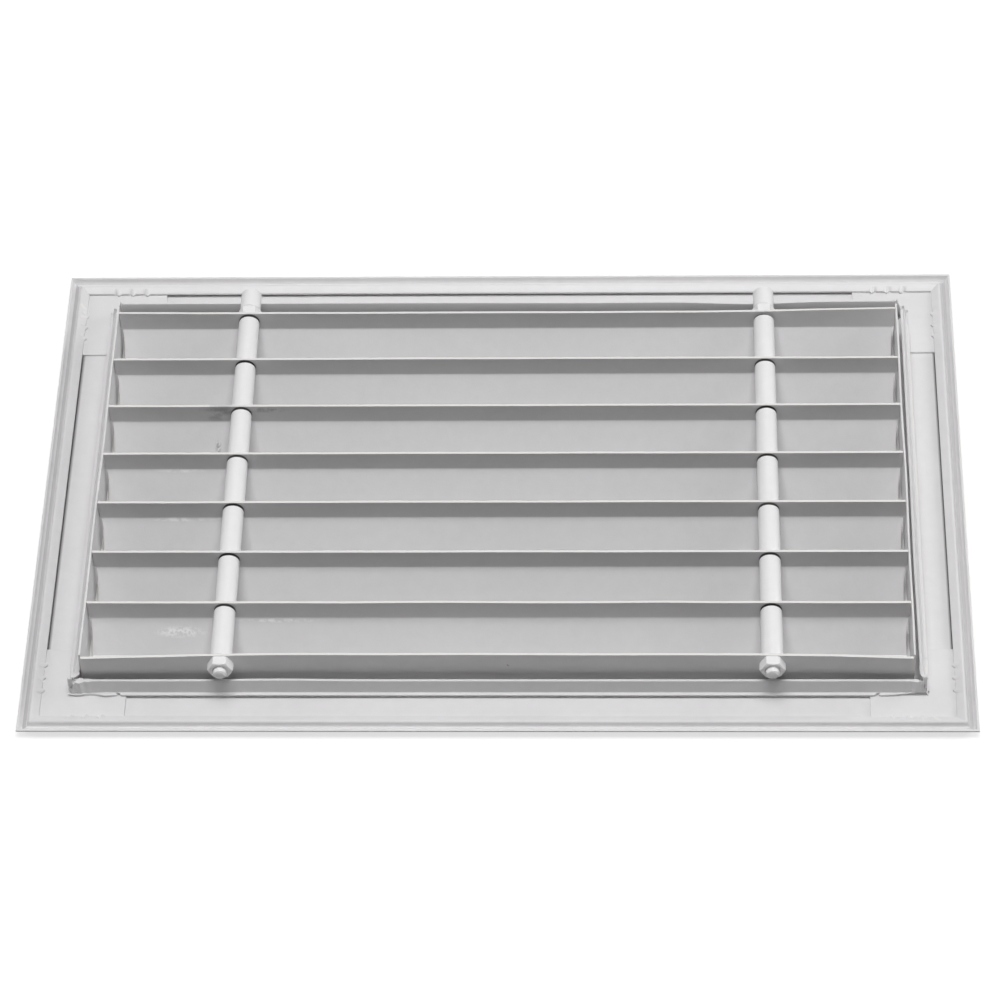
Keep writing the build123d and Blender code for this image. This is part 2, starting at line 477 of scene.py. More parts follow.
# ------------------------------------------------------------------ frame bars
@dataclass
class FrameBar:
    """One mitred bar of the flange with its cove, lips, key channel and neck.

    The bar is built along X with its outer edge at Y = -across / 2, then turned.
    Steps along the bar are measured from its mitred outer corners.
    """

    name: str
    length: float
    across: float
    turn: float
    rim_height: float = 6.8
    face_plate: float = 1.4
    lip_top: float = 4.5
    shelf: float = 3.2
    flange: float = 29.0
    neck_wall: float = 1.6
    neck_top: float = 14.0
    ledge: float = 38.5
    lip_end: float = 12.0
    mitre_gap: float = 0.05
    crimp_steps: tuple[float, ...] = (30.0, 39.0, 48.0)
    crimp_slant: float = 0.8
    corner_cuts: tuple[float, float] = (5.0, 5.0)
    lean: float = 0.0
    groove: float = 0.2
    beads: tuple[float, float] = (0.0, 0.0)
    # strengths of painted shade: in the cove, under the outer lip and inside the neck wall
    cove_shade: float = 0.1
    slot_shade: float = 0.95
    wall_shade: float = 0.0
    curl: tuple[float, float] = (0.0, 0.0)
    waves: tuple[float, float] = (0.0, 0.0)
    notches: tuple[float, float] = (0.0, 0.0)
    punches: tuple[tuple[int, float], ...] = ()
    dents: tuple[tuple[float, float, float], ...] = ()

    def section(self) -> list[Point2]:
        """Outline of the bar: distance from the outer edge, height above the face.

        Returns:
            Points in order.
        """
        top, shelf, foot = self.rim_height, self.shelf, self.flange - 2.0
        inner = self.flange + self.neck_wall
        return rounded([
            (4.4, 0.0, 0.8), (0.25, top - 1.2, 0.4), (0.0, top - 0.9, 0.2), (0.0, top, 0.3),
            (1.3, top, 0.5), (2.1, 4.7, 1.6), (3.2, 3.4, 1.6), (4.6, 2.95, 1.8),
            (5.7, 3.7, 1.6), (6.3, 5.9, 1.2), (7.3, 6.75, 1.2), (9.0, 6.0, 2.0),
            (self.lip_end, self.lip_top, 0.45), (self.lip_end, shelf, 0.2), (6.8, shelf, 0.1),
            (6.8, self.face_plate, 0.1), (self.lip_end + 0.2, self.face_plate, 0.0),
            (self.lip_end + 0.3 + self.groove, self.face_plate, 0.0),
            (self.flange - 0.7, self.face_plate, 0.1),
            (self.flange - 0.7, shelf, 0.1), (foot, shelf, 0.2), (foot, self.lip_top, 0.5),
            (self.flange, self.lip_top, 0.7), (self.flange, self.neck_top, 0.45),
            (inner, self.neck_top, 0.45), (inner, self.face_plate, 0.5),
            (self.ledge, self.face_plate, 0.4), (self.ledge, 0.0, 0.4),
        ], steps=3)

    def stations(self) -> np.ndarray:
        """Steps along the bar, close together where the lips are worked.

        Returns:
            Steps in rising order.
        """
        run = self.ledge + 1
        near = np.linspace(0.0, 1.0, END_RINGS)
        worked = np.linspace(run, WORKED_RUN, END_RINGS)[1:]
        middle = np.linspace(WORKED_RUN, self.length - WORKED_RUN, MIDDLE_RINGS)[1:-1]
        return np.concatenate([near, worked, middle, self.length - worked[::-1], self.length - near[::-1]])

    def shape(self) -> tuple[np.ndarray, list]:
        """Points and faces of the bar along X.

        Returns:
            Points in millimetres, and faces as tuples of point numbers.
        """
        outline = np.array(self.section())
        run = self.ledge + 1
        rings = []
        for i, step in enumerate(self.stations()):
            across, up = outline[:, 0].copy(), outline[:, 1].copy()
            lead = across + self.mitre_gap
            if i < END_RINGS:
                along = lead + (run - lead) * step
            elif i >= len(self.stations()) - END_RINGS:
                along = self.length - (lead + (run - lead) * (self.length - step))
            else:
                along = np.full(len(across), step)
            across, up = self.worked(along, across, up)
            rings.append(np.column_stack([along - self.length / 2, across - self.across / 2, up]))
        return np.vstack(rings), ring_faces(len(rings), len(outline))

    def worked(self, along: np.ndarray, across: np.ndarray, up: np.ndarray) -> tuple[np.ndarray, np.ndarray]:
        """Hand work on the lips and the neck: crimps, curls, notches, punches and dents.

        Args:
            along: steps along the bar of one section's points.
            across: their distances from the outer edge.
            up: their heights.

        Returns:
            New distances and heights.
        """
        on_lip = smooth_step((across - 8.6) / 3.0) * (across < self.lip_end + 0.1) * (up > 3.0)
        on_foot = smooth_step((self.flange - 0.4 - across) / 1.2) * (across > self.flange - 3) * (up > 3.0)
        on_neck = (up > self.lip_top + 0.2) * (across > self.flange - 0.1) * (across < self.flange + 3)
        new_across, new_up = across.copy(), up.copy()
        for end, distance in enumerate((along, self.length - along)):
            for step in self.crimp_steps:
                slanted = distance - step + self.crimp_slant * (across - 10.5)
                press = bell(slanted / 0.8) * on_lip
                heel = bell((slanted - 1.9) / 1.0) * on_lip
                new_up -= 1.0 * press * (up > self.shelf + 0.2)
                new_across += 1.5 * heel - 0.5 * press
            reach = np.clip((56.0 - distance) / 24.0, 0.0, 1.0)
            new_across += on_foot * self.curl[end] * reach * reach
            new_up += on_foot * 0.25 * self.curl[end] * reach * reach
            ripple = np.sin(distance / 2.9) * smooth_step(reach * 2.5)
            new_across += on_foot * self.waves[end] * ripple
            new_up -= on_foot * 0.5 * self.waves[end] * ripple
            notch = bell((distance - 55.0 + 0.9 * (across - self.flange)) / 0.9) * self.notches[end]
            new_across += on_foot * notch
            new_up -= on_foot * 0.8 * notch * (up > self.shelf + 0.2)
            outward = np.where(across > self.flange + 0.5 * self.neck_wall, 1.0, -1.0)
            lump = bell((distance - self.flange - 5.0) / 6.0) * (1.0 + 0.45 * np.sin(1.3 * distance))
            new_across += self.beads[end] * lump * outward * on_neck
            cut = self.corner_cuts[end]
            ragged = 0.35 * np.sin(distance * 4.0) * bell((distance - self.flange - cut) / 1.5)
            corner = smooth_step((self.flange + cut - distance) / (0.5 * cut)) + ragged
            new_up = np.where(on_neck, new_up - corner * (up - self.lip_top) * 0.55, new_up)
        for end, step in self.punches:
            distance = along if end == 0 else self.length - along
            round_hole = bell(np.hypot(distance - step, across - self.flange + 0.9) / 0.75)
            new_up -= 0.9 * round_hole * (up > self.lip_top - 0.6) * (across < self.flange + 0.1)
        rise = on_neck * (up - self.lip_top) / (self.neck_top - self.lip_top)
        from_end = np.minimum(along, self.length - along)
        new_across += self.lean * rise * smooth_step((from_end - self.flange - 1.0) / 8.0)
        for step, width, depth in self.dents:
            bend = bell((along - step) / width) * rise
            new_across += depth * bend
        return new_across, new_up

    def build(self, finish: PowderCoat) -> Piece:
        """Make and dress the bar.

        Args:
            finish: its coat.

        Returns:
            The dressed bar.
        """
        points, faces = self.shape()
        turned = np.array(Matrix.Rotation(math.radians(self.turn), 3, "Z"))
        piece = mesh_piece(f"{self.name}_bar", points @ turned.T, faces, sharp=40)
        self._thin_coat(piece.data)
        return dress(piece, finish, [self.name])

    def _thin_coat(self, mesh: bpy.types.Mesh) -> None:
        """Painted shade: mark where shadow falls, under the outer lip, in the cove and inside the neck, for
        the coat to darken.

        Args:
            mesh: mesh of the turned bar.
        """
        cover = mesh.attributes.new("thin_coat", "FLOAT", "POINT")
        back = Matrix.Rotation(math.radians(-self.turn), 3, "Z")
        inner = self.flange + self.neck_wall
        for point, value in zip(mesh.vertices, cover.data):
            local = back @ point.co / MM
            across, up = local.y + self.across / 2, local.z
            if 5.0 < across < self.lip_end + 0.25 and 1.0 < up < 2.0:
                value.value = self.slot_shade
            elif 3.0 < across < 5.0 and 2.0 < up < 3.6:
                value.value = self.cove_shade
            elif abs(across - inner) < 1.0 and 1.0 < up < 3.0:
                value.value = self.wall_shade


@dataclass
class Flange:
    """The four mitred bars of the frame."""

    finish: PowderCoat

    def build(self) -> list[Piece]:
        """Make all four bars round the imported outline.

        Returns:
            The dressed pieces.
        """
        low, high = node_box("frame_bottom")
        wide = 2 * round(high.x + FrameBar.mitre_gap, 3)
        deep = -2 * low.y
        top = node_box("frame_left")[1].z
        ledge = high.y - low.y
        common = {"neck_top": top, "ledge": ledge}
        bars = [
            FrameBar("frame_bottom", wide, deep, 0, curl=(0.6, 2.4), waves=(0.75, 0.0), notches=(1.6, 1.9),
                     lean=0.9, corner_cuts=(2.0, 2.0), beads=(1.0, 0.3),
                     dents=((150.0, 30.0, 0.5),), **common),
            FrameBar("frame_top", wide, deep, 180, curl=(1.0, 0.6), waves=(0.2, 0.2),
                     lean=-1.6, dents=((125.0, 30.0, 1.9), (230.0, 60.0, 0.5)), slot_shade=0.35,
                     wall_shade=0.9, **common),
            FrameBar("frame_right", deep, wide, 90, curl=(0.8, 1.0), waves=(0.0, 0.2), lean=2.0,
                     corner_cuts=(2.0, 5.0), beads=(0.5, 0.0), punches=((0, 54.0), (0, 40.5)),
                     dents=((120.0, 40.0, 0.4),), groove=1.3, cove_shade=0.22, **common),
            FrameBar("frame_left", deep, wide, -90, curl=(0.5, 0.4), waves=(0.3, 0.2), lean=3.1,
                     corner_cuts=(5.0, 2.0), beads=(0.0, 1.3), dents=((210.0, 50.0, 0.3),), groove=1.6,
                     cove_shade=0.35, **common),
        ]
        return [bar.build(self.finish) for bar in bars]


@dataclass
class CornerKeys:
    """The four flat L plates in the key channel."""

    finish: PowderCoat
    edge: float = 0.3

    def build(self) -> list[Piece]:
        """Rebuild each packed key with broken edges.

        Returns:
            The dressed pieces.
        """
        keys = []
        for row in ("top", "bottom"):
            for side in Side:
                keys.append(self._key(f"corner_key_{row}_{side.value}"))
        return keys

    def _key(self, node: str) -> Piece:
        """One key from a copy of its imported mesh.

        Args:
            node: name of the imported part.

        Returns:
            The dressed key.
        """
        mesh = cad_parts[node].data.copy()
        mesh.name = f"{node}_plate"
        piece = bpy.data.objects.new(mesh.name, mesh)
        bpy.context.scene.collection.objects.link(piece)
        work = bmesh.new()
        work.from_mesh(mesh)
        bmesh.ops.remove_doubles(work, verts=work.verts, dist=1e-6)
        bmesh.ops.dissolve_limit(work, angle_limit=0.02, verts=work.verts, edges=work.edges)
        bmesh.ops.bevel(work, geom=work.edges[:], offset=self.edge * MM, segments=2, profile=0.6,
                        affect="EDGES")
        bmesh.ops.recalc_face_normals(work, faces=work.faces)
        work.to_mesh(mesh)
        work.free()
        mesh.shade_smooth()
        mesh.set_sharp_from_angle(angle=math.radians(40))
        return dress(piece, self.finish, [node])


# ------------------------------------------------------------------ geometry nodes
class NodeSheet:
    """Small writer for geometry node trees with named inputs."""

    def __init__(self, name: str) -> None:
        """Start a tree with one geometry output.

        Args:
            name: name of the input.
        """
        self.tree = bpy.data.node_groups.new(name, "GeometryNodeTree")
        self.tree.interface.new_socket("Geometry", in_out="OUTPUT", socket_type="NodeSocketGeometry")
        self.entry = self.tree.nodes.new("NodeGroupInput")
        self.exit = self.tree.nodes.new("NodeGroupOutput")
        self.identifiers: dict[str, str] = {}

    def number(self, name: str, value: float, whole: bool = False) -> None:
        """Add a named number input.

        Args:
            name: name of the input.
            value: its first value.
            whole: whether it is a whole number.
        """
        kind = "NodeSocketInt" if whole else "NodeSocketFloat"
        socket = self.tree.interface.new_socket(name, in_out="INPUT", socket_type=kind)
        socket.default_value = value
        self.identifiers[name] = socket.identifier

    def vector(self, name: str) -> None:
        """Add a named vector input."""
        socket = self.tree.interface.new_socket(name, in_out="INPUT", socket_type="NodeSocketVector")
        self.identifiers[name] = socket.identifier

    def finish_input(self) -> None:
        """Add the material input."""
        socket = self.tree.interface.new_socket("Coat", in_out="INPUT", socket_type="NodeSocketMaterial")
        self.identifiers["Coat"] = socket.identifier

    def given(self, name: str) -> Socket:
        """Socket of a named input."""
        return self.entry.outputs[name]

    def node(self, kind: str, links: dict | None = None, **settings: object) -> bpy.types.Node:
        """New node with its settings and its inputs linked or set.

        Args:
            kind: Blender's node type.
            links: input name or number to a socket or a plain value.
            settings: node properties.

        Returns:
            The node.
        """
        made = self.tree.nodes.new(kind)
        for key, value in settings.items():
            setattr(made, key, value)
        for key, value in (links or {}).items():
            if isinstance(value, Socket):
                self.tree.links.new(value, made.inputs[key])
            else:
                made.inputs[key].default_value = value
        return made

    def math(self, operation: str, *values: Value) -> Socket:
        """Math node over sockets and numbers."""
        return self.node("ShaderNodeMath", dict(enumerate(values)), operation=operation).outputs[0]

    def times(self, first: Value, second: Value) -> Socket:
        """Product of two values."""
        return self.math("MULTIPLY", first, second)

    def plus(self, first: Value, second: Value) -> Socket:
        """Sum of two values."""
        return self.math("ADD", first, second)

    def minus(self, first: Value, second: Value) -> Socket:
        """First value less the second."""
        return self.math("SUBTRACT", first, second)

    def over(self, first: Value, second: Value) -> Socket:
        """First value divided by the second."""
        return self.math("DIVIDE", first, second)

    def join(self, *parts: Socket) -> Socket:
        """Joined geometry.

        Args:
            parts: geometries to join.

        Returns:
            The joined geometry.
        """
        joined = self.tree.nodes.new("GeometryNodeJoinGeometry")
        for part in parts:
            self.tree.links.new(part, joined.inputs[0])
        return joined.outputs[0]

    def close(self, geometry: Socket) -> None:
        """Realise instances, set the material and end the tree.

        Args:
            geometry: finished geometry.
        """
        real = self.node("GeometryNodeRealizeInstances", {0: geometry}).outputs[0]
        coat = self.node("GeometryNodeSetMaterial", {"Geometry": real, "Material": self.given("Coat")})
        self.tree.links.new(coat.outputs[0], self.exit.inputs[0])

    def mesh(self, name: str, values: dict) -> Piece:
        """Run the tree on an empty object and keep the result as a plain mesh.

        Args:
            name: name of the new object.
            values: input name to value.

        Returns:
            An object with the mesh and no modifier.
        """
        piece = bpy.data.objects.new(name, bpy.data.meshes.new(f"{name}_start"))
        bpy.context.scene.collection.objects.link(piece)
        modifier = piece.modifiers.new("shape", "NODES")
        modifier.node_group = self.tree
        for key, value in values.items():
            modifier[self.identifiers[key]] = value
        bpy.context.view_layer.update()
        graph = bpy.context.evaluated_depsgraph_get()
        result = bpy.data.meshes.new_from_object(piece.evaluated_get(graph))
        piece.modifiers.clear()
        piece.data = result
        result.name = name
        return piece


# ------------------------------------------------------------------ blades
@dataclass
class BladePack:
    """Seven bent blades and the flat closing blade, all from one node tree."""

    finish: PowderCoat
    sheet: float = BLADE_SHEET
    bend_radius: float = 1.75
    lean: float = 45.0
    rear_leg: float = 14.0
    toe_rise: float = 1.6
    front_cut: float = 2.0
    hole: float = 8.6
    edge: float = 0.28
    bows: tuple[float, ...] = (0.8, 0.4, 0.3, 0.4, 0.3, 0.5, 1.1, 0.9)
    sweeps: dict[str, Point2] = field(default_factory=lambda: {
        "blade_1": (0.6, 2.6), "closing_blade": (-2.8, -2.6)})

    def tree(self) -> NodeSheet:
        """Bent sheet: a grid rolled round the crease, thickened and bored for the rods.

        Returns:
            The finished tree.
        """
        s = NodeSheet("bent_blade")
        for name, value in (
            ("Length", 0.476), ("Rear Leg", 0.013), ("Front Leg", 0.02), ("Lean", 0.785),
            ("Bend Radius", 0.00175), ("Sheet", 0.0015), ("Front Cut", 0.002), ("Bow", 0.0003),
            ("Left Sweep", 0.0), ("Right Sweep", 0.0),
            ("Rod Span", 0.316), ("Rod Drop", 0.0069), ("Hole", 0.0086),
        ):
            s.number(name, value)
        s.number("Seed", 0, whole=True)
        s.vector("Place")
        s.finish_input()
        arc = s.times(s.given("Bend Radius"), s.given("Lean"))
        developed = s.plus(s.plus(s.given("Rear Leg"), s.given("Front Leg")), arc)
        grid = s.node("GeometryNodeMeshGrid", {
            "Size X": s.given("Length"), "Size Y": developed, "Vertices X": 160, "Vertices Y": 44,
        }).outputs["Mesh"]
        spot = s.node("ShaderNodeSeparateXYZ", {0: s.node("GeometryNodeInputPosition").outputs[0]})
        down = s.minus(s.times(developed, 0.5), spot.outputs["Y"])
        past = s.minus(down, s.given("Rear Leg"))
        rolled = s.math("MINIMUM", s.math("MAXIMUM", past, 0.0), arc)
        angle = s.over(rolled, s.given("Bend Radius"))
        upright = s.math("MINIMUM", down, s.given("Rear Leg"))
        front = s.math("MAXIMUM", s.minus(past, arc), 0.0)
        sine, cosine = s.math("SINE", angle), s.math("COSINE", angle)
        back = s.plus(s.times(s.minus(1.0, cosine), s.given("Bend Radius")),
                      s.times(front, sine))
        fall = s.plus(s.plus(upright, s.times(s.given("Bend Radius"), sine)),
                      s.times(front, cosine))
        y = s.minus(self._bow(s, spot, down), back)
        z = s.times(fall, -1.0)
        x = self._trimmed(s, spot, past)
        target = s.node("ShaderNodeCombineXYZ", {"X": x, "Y": y, "Z": z}).outputs[0]
        middle = s.node("GeometryNodeSetPosition", {"Geometry": grid, "Position": target}).outputs[0]
        solid = self._thick(s, middle)
        bored = self._bored(s, solid)
        placed = s.node("GeometryNodeTransform", {"Geometry": bored, "Translation": s.given("Place")})
        s.close(placed.outputs[0])
        return s

    def _bow(self, s: NodeSheet, spot: bpy.types.Node, down: Socket) -> Socket:
        """Sideways wander of the rear edge between the rods, and the sweep of its ends.

        Args:
            s: sheet of nodes to add to.
            spot: separated position on the flat grid.
            down: distance from the rear edge.

        Returns:
            Offset along Y, dying out at the crease.
        """
        seed = s.times(s.given("Seed"), 7.31)
        where = s.node("ShaderNodeCombineXYZ", {"X": s.times(spot.outputs["X"], 9.0), "Y": seed})
        noise = s.node("ShaderNodeTexNoise", {"Vector": where.outputs[0], "Scale": 1.0, "Detail": 1.0})
        wander = s.times(s.minus(noise.outputs["Fac"], 0.5), 2.0)
        from_rod = s.minus(s.math("ABSOLUTE", spot.outputs["X"]), s.times(s.given("Rod Span"), 0.5))
        free = s.math("MINIMUM", s.times(s.math("ABSOLUTE", from_rod), 30.0), 1.0)
        high = s.math("MAXIMUM", s.minus(1.0, s.over(down, s.given("Rear Leg"))), 0.0)
        waves = s.times(s.times(wander, free), s.given("Bow"))
        half = s.times(s.given("Rod Span"), 0.35)
        ends = []
        for name, sign in (("Left Sweep", -1.0), ("Right Sweep", 1.0)):
            beyond = s.minus(s.times(spot.outputs["X"], sign), half)
            reach = s.minus(s.times(s.given("Length"), 0.5), half)
            share = s.over(s.math("MAXIMUM", beyond, 0.0), reach)
            ends.append(s.times(s.math("POWER", share, 1.6), s.given(name)))
        return s.times(s.plus(waves, s.plus(*ends)), high)

    def _trimmed(self, s: NodeSheet, spot: bpy.types.Node, past: Socket) -> Socket:
        """X of a point, with the front leg's ends drawn in along a soft S.

        Args:
            s: sheet of nodes to add to.
            spot: separated position on the flat grid.
            past: distance past the rear leg.

        Returns:
            The new X.
        """
        share = s.over(past, s.math("MAXIMUM", s.given("Front Leg"), 0.001))
        share = s.math("MINIMUM", s.math("MAXIMUM", share, 0.0), 1.0)
        ease = s.math("SINE", s.times(s.math("POWER", share, 0.45), math.pi * 0.62))
        cut = s.over(s.times(ease, s.given("Front Cut")), s.times(s.given("Length"), 0.5))
        return s.times(spot.outputs["X"], s.minus(1.0, cut))

    def _thick(self, s: NodeSheet, middle: Socket) -> Socket:
        """Closed sheet round the middle surface.

        Args:
            s: sheet of nodes to add to.
            middle: middle surface.

        Returns:
            The closed sheet.
        """
        normal = s.node("GeometryNodeInputNormal").outputs[0]
        half = s.times(s.given("Sheet"), -0.5)
        offset = s.node("ShaderNodeVectorMath", {0: normal, "Scale": half}, operation="SCALE").outputs[0]
        lower = s.node("GeometryNodeSetPosition", {"Geometry": middle, "Offset": offset}).outputs[0]
        upper = s.node("GeometryNodeExtrudeMesh", {
            "Mesh": lower, "Offset Scale": s.given("Sheet"), "Individual": False})
        under = s.node("GeometryNodeFlipFaces", {"Mesh": lower}).outputs[0]
        both = s.join(upper.outputs["Mesh"], under)
        return s.node("GeometryNodeMergeByDistance", {"Geometry": both, "Distance": 1e-5}).outputs[0]

    def _bored(self, s: NodeSheet, solid: Socket) -> Socket:
        """Cut both rod holes.

        Args:
            s: sheet of nodes to add to.
            solid: closed sheet.

        Returns:
            The sheet with its holes.
        """
        drill = s.node("GeometryNodeMeshCylinder", {
            "Vertices": 40, "Radius": s.times(s.given("Hole"), 0.5),
            "Depth": s.times(s.given("Sheet"), 4.0),
        }).outputs["Mesh"]
        drills = []
        for sign in (-0.5, 0.5):
            place = s.node("ShaderNodeCombineXYZ", {
                "X": s.times(s.given("Rod Span"), sign), "Z": s.times(s.given("Rod Drop"), -1.0),
            }).outputs[0]
            turned = s.node("GeometryNodeTransform", {"Geometry": drill, "Translation": place})
            turned.inputs["Rotation"].default_value = (math.pi / 2, 0, 0)
            drills.append(turned.outputs[0])
        cut = s.node("GeometryNodeMeshBoolean", {"Mesh 1": solid, "Mesh 2": s.join(*drills)},
                     operation="DIFFERENCE")
        return cut.outputs["Mesh"]

    def build(self) -> list[Piece]:
        """Make every blade from its packed box.

        Returns:
            The dressed pieces.
        """
        sheet = self.tree()
        rods = [node_box(f"tie_rod_{side.value}") for side in Side]
        span = rods[1][0].x - rods[0][0].x
        rod_z = (rods[0][0].z + rods[0][1].z) / 2
        nodes = [f"blade_{i}" for i in range(1, BLADE_COUNT + 1)] + ["closing_blade"]
        lean = math.radians(self.lean)
        tuck = self.bend_radius * math.tan(lean / 2)
        pieces = []
        for i, node in enumerate(nodes):
            low, high = node_box(node)
            flat = node == "closing_blade"
            straight = self.rear_leg - tuck
            drop = high.z - self.rear_leg - self.toe_rise
            front = drop / math.sin(lean) - tuck
            values = {
                "Length": (high.x - low.x) * MM, "Rear Leg": (high.z - low.z if flat else straight) * MM,
                "Front Leg": 0.0 if flat else front * MM, "Lean": 0.0 if flat else lean,
                "Bend Radius": self.bend_radius * MM, "Sheet": self.sheet * MM,
                "Front Cut": 0.0 if flat else self.front_cut * MM, "Bow": self.bows[i] * MM,
                "Left Sweep": self.sweeps.get(node, (0, 0))[0] * MM,
                "Right Sweep": self.sweeps.get(node, (0, 0))[1] * MM,
                "Rod Span": span * MM, "Rod Drop": (high.z - rod_z) * MM, "Hole": self.hole * MM,
                "Seed": i, "Place": (0.0, (high.y - self.sheet / 2) * MM, high.z * MM),
                "Coat": self.finish.material(),
            }
            piece = sheet.mesh(f"{node}_sheet", values)
            piece.data.shade_smooth()
            piece.data.set_sharp_from_angle(angle=math.radians(35))
            pieces.append(dress(piece, self.finish, [node]))
        return pieces


@dataclass
class SidePlates:
    """The two upright end plates, slightly wavy along their rear edges."""

    finish: PowderCoat
    wave: float = 0.35
    edge: float = 0.35

    def build(self) -> list[Piece]:
        """Make both plates."""
        return [self._plate(side) for side in Side]

    def _plate(self, side: Side) -> Piece:
        """One plate as a closed sheet swept along Y.

        Args:
            side: end of the grille.

        Returns:
            The dressed plate.
        """
        node = f"side_plate_{side.value}"
        low, high = node_box(node)
        outline = np.array(rounded([
            (low.x, low.z, self.edge), (high.x, low.z, self.edge),
            (high.x, high.z, self.edge), (low.x, high.z, self.edge),
        ], steps=3))
        ends = np.roll(outline, -1, axis=0)
        outline = np.vstack([self._split(start, end) for start, end in zip(outline, ends)])
        rings = []
        phase = 0.6 if side is Side.LEFT else 2.1
        for y in np.linspace(low.y, high.y, 150):
            ring = np.column_stack([outline[:, 0], np.full(len(outline), y), outline[:, 1]])
            height = (outline[:, 1] - low.z) / (high.z - low.z)
            ring[:, 0] += self.wave * height ** 2 * math.sin(y / 23.0 + phase) * math.cos(y / 61.0)
            rings.append(ring)
        piece = mesh_piece(f"{node}_sheet", np.vstack(rings), ring_faces(len(rings), len(outline)))
        return dress(piece, self.finish, [node])

    def _split(self, start: np.ndarray, end: np.ndarray, step: float = 2.5) -> np.ndarray:
        """Points from start towards end, close enough for the wave, without the end."""
        count = max(1, int(np.linalg.norm(end - start) / step))
        return start + (end - start) * np.linspace(0, 1, count, endpoint=False)[:, None]


# ------------------------------------------------------------------ rods and what they carry
@dataclass
class TieRods:
    """Two rods with their spacer tubes, collars and nuts."""

    finish: PowderCoat
    pitch_of_thread: float = 1.25
    thread_depth: float = 0.35
    thread_run: float = 12.0
    point: float = 0.9
    bore_play: float = 0.4
    # length at each tube's far end that gets painted shadow
    bare_run: float = 0.45
    chamfer_start: float = 0.955
    chamfer_rise: float = 1.75
    bore_break: float = 0.5
    bore_level: float = 0.92

    def build(self) -> list[Piece]:
        """Make rods, spacers, collars and nuts.

        Returns:
            The dressed pieces.
        """
        pieces = []
        tubes = self.tube_tree()
        for side in Side:
            pieces.append(self._rod(side))
            spacers = [f"spacer_{side.value}_{i}" for i in range(1, BLADE_COUNT + 1)]
            pieces.append(self._tubes(tubes, side, f"spacers_{side.value}", spacers, 0.6))
            collar = f"collar_{side.value}"
            pieces.append(self._tubes(tubes, side, f"{collar}_tube", [collar], 0.7))
        pieces.append(self._nuts())
        return pieces

    def tube_tree(self) -> NodeSheet:
        """Row of tubes: a rounded wall section swept round a circle and repeated.

        Returns:
            The finished tree.
        """
        s = NodeSheet("spacer_row")
        for name, value in (("Pitch", 0.0373), ("Tube Length", 0.0348), ("Diameter", 0.0125),
                            ("Bore", 0.0084), ("Corner", 0.0009)):
            s.number(name, value)
        s.number("Count", BLADE_COUNT, whole=True)
        s.vector("Place")
        s.finish_input()
        wall = s.times(s.minus(s.given("Diameter"), s.given("Bore")), 0.5)
        mean = s.times(s.plus(s.given("Diameter"), s.given("Bore")), 0.25)
        ring = s.node("GeometryNodeCurvePrimitiveCircle", {
            "Resolution": 56, "Radius": mean}).outputs["Curve"]
        box = s.node("GeometryNodeCurvePrimitiveQuadrilateral", {
            "Width": wall, "Height": s.given("Tube Length")})
        corner = s.node("GeometryNodeFilletCurve", {"Curve": box.outputs[0], "Radius": s.given("Corner")})
        self._set_poly(corner)
        tube = s.node("GeometryNodeCurveToMesh", {
            "Curve": ring, "Profile Curve": corner.outputs[0]}).outputs[0]
        turned = s.node("GeometryNodeTransform", {"Geometry": tube})
        turned.inputs["Rotation"].default_value = (math.pi / 2, 0, 0)
        step = s.node("ShaderNodeCombineXYZ", {"Y": s.times(s.given("Pitch"), -1.0)}).outputs[0]
        row = s.node("GeometryNodeMeshLine", {
            "Count": s.given("Count"), "Start Location": s.given("Place"), "Offset": step})
        copies = s.node("GeometryNodeInstanceOnPoints", {
            "Points": row.outputs[0], "Instance": turned.outputs[0]})
        s.close(copies.outputs[0])
        return s

    def _set_poly(self, corner: bpy.types.Node) -> None:
        """Round the wall's corners with four segments.

        Args:
            corner: the fillet node.
        """
        corner.mode = "POLY"
        corner.inputs["Count"].default_value = 4
        corner.inputs["Limit Radius"].default_value = True

    def _tubes(self, tree: NodeSheet, side: Side, name: str, nodes: list[str], corner: float) -> Piece:
        """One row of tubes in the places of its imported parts.

        Args:
            tree: node tree of a row of tubes.
            side: end of the grille.
            name: name of the new object.
            nodes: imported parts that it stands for.
            corner: radius of the wall's corners, in millimetres.

        Returns:
            The dressed row.
        """
        low, high = node_box(nodes[0])
        pitch = low.y - node_box(nodes[1])[0].y if len(nodes) > 1 else 0.0
        rod_low, rod_high = node_box(f"tie_rod_{side.value}")
        centre = (low + high) / 2
        piece = tree.mesh(name, {
            "Pitch": pitch * MM, "Tube Length": (high.y - low.y) * MM, "Diameter": (high.x - low.x) * MM,
            "Bore": (rod_high.x - rod_low.x + self.bore_play) * MM, "Corner": corner * MM,
            "Count": len(nodes), "Place": tuple(centre * MM), "Coat": self.finish.material(),
        })
        weld(piece.data)
        if len(nodes) > 1:
            self._shade_far_ends(piece.data, high.y, pitch)
        piece.data.shade_smooth()
        piece.data.set_sharp_from_angle(angle=math.radians(50))
        return dress(piece, self.finish, nodes)

    def _shade_far_ends(self, mesh: bpy.types.Mesh, end: float, pitch: float) -> None:
        """Painted shadow: mark the far end of each tube, in the gap against the next blade.

        Args:
            mesh: row of tubes.
            end: Y of the first tube's far end, in millimetres.
            pitch: step from tube to tube, in millimetres.
        """
        cover = mesh.attributes.new("thin_coat", "FLOAT", "POINT")
        for point, value in zip(mesh.vertices, cover.data):
            behind = (end - point.co.y / MM) % pitch
            value.value = 1.0 if min(behind, pitch - behind) < self.bare_run else 0.0

